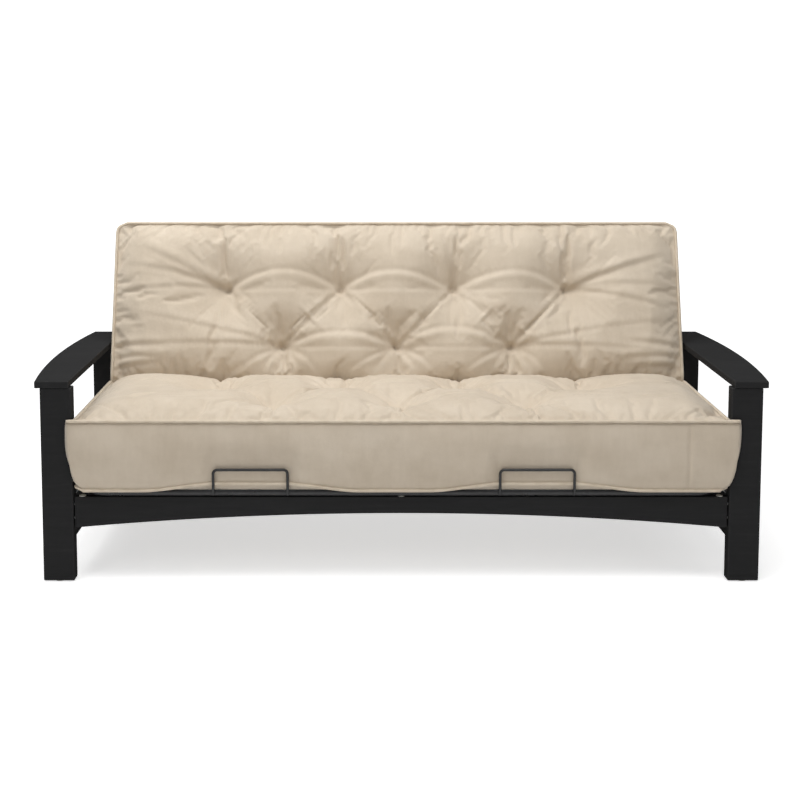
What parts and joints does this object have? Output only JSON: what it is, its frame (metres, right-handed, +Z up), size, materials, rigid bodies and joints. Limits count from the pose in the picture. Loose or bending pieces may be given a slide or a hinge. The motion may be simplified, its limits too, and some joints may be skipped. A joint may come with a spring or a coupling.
{
  "type": "futon sofa bed",
  "caption": "Futon sofa bed: black wooden side frames with bowed arm rests, arched front stretcher, folding tubular deck on rollers and one folded tufted mattress.",
  "frame": {"origin": "on the floor, under the centre of the sofa's bounding box", "axes": "+X to the viewer's right, -Y to the front where people sit down, +Z up"},
  "size_m": [2.12, 0.9392, 0.9573],
  "materials": {
    "black_wood": "satin",
    "black_steel": "satin",
    "zinc_steel": "satin",
    "nylon": "matte",
    "birch": "matte",
    "mattress_fabric": "matte"
  },
  "bodies": {
    "frame": {"front_leg_left": "black_wood", "front_leg_right": "black_wood", "rear_leg_left": "black_wood", "rear_leg_right": "black_wood", "arm_rest_left": "black_wood", "arm_rest_right": "black_wood", "side_rail_left": "black_wood", "side_rail_right": "black_wood", "front_stretcher": "black_wood", "rear_stretcher": "black_wood", "guide_track_left": "zinc_steel", "guide_track_right": "zinc_steel", "track_screws": "zinc_steel", "rail_dowels": "birch", "arm_dowels": "birch", "frame_bolts": "zinc_steel", "barrel_nuts": "zinc_steel", "floor_glides": "nylon", "wear_pads": "nylon"},
    "seat": {"seat_frame": "black_steel", "seat_mesh": "black_steel", "retainer_left": "black_steel", "retainer_right": "black_steel", "front_axle_left": "zinc_steel", "front_axle_right": "zinc_steel", "hinge_axle_left": "zinc_steel", "hinge_axle_right": "zinc_steel", "axle_nuts": "zinc_steel", "hinge_sleeves": "zinc_steel", "axle_spacers": "zinc_steel", "mattress_seat": "mattress_fabric"},
    "back": {"back_frame": "black_steel", "back_mesh": "black_steel", "cam_pin_left": "zinc_steel", "cam_pin_right": "zinc_steel", "cam_glide_left": "nylon", "cam_glide_right": "nylon", "cam_nuts": "zinc_steel", "mattress_back": "mattress_fabric"},
    "front_roller_left": {"front_roller_left": "nylon"},
    "front_roller_right": {"front_roller_right": "nylon"},
    "hinge_roller_left": {"hinge_roller_left": "nylon"},
    "hinge_roller_right": {"hinge_roller_right": "nylon"}
  },
  "joints": [
    {"name": "seat_slide", "type": "slide", "parent": "frame", "child": "seat", "axis": [0, -1, 0], "range_m": [0, 0.25]},
    {"name": "back_fold", "type": "hinge", "parent": "seat", "child": "back", "pos_m": [0, 0.26342, 0.2595], "axis": [-1, 0, 0], "range_deg": [0, 72.4]},
    {"name": "front_roller_spin_left", "type": "hinge", "parent": "seat", "child": "front_roller_left", "pos_m": [-0.9345, -0.12158, 0.2595], "axis": [1, 0, 0], "range_deg": [0, 1200]},
    {"name": "front_roller_spin_right", "type": "hinge", "parent": "seat", "child": "front_roller_right", "pos_m": [0.9345, -0.12158, 0.2595], "axis": [1, 0, 0], "range_deg": [0, 1200]},
    {"name": "hinge_roller_spin_left", "type": "hinge", "parent": "seat", "child": "hinge_roller_left", "pos_m": [-0.9345, 0.26342, 0.2595], "axis": [1, 0, 0], "range_deg": [0, 1200]},
    {"name": "hinge_roller_spin_right", "type": "hinge", "parent": "seat", "child": "hinge_roller_right", "pos_m": [0.9345, 0.26342, 0.2595], "axis": [1, 0, 0], "range_deg": [0, 1200]}
  ],
  "couplings": [
    {"joint": "back_fold", "follows": "seat_slide", "rad_per_m": 5.0544},
    {"joint": "front_roller_spin_left", "follows": "seat_slide", "rad_per_m": 83.333},
    {"joint": "front_roller_spin_right", "follows": "seat_slide", "rad_per_m": 83.333},
    {"joint": "hinge_roller_spin_left", "follows": "seat_slide", "rad_per_m": 83.333},
    {"joint": "hinge_roller_spin_right", "follows": "seat_slide", "rad_per_m": 83.333}
  ]
}
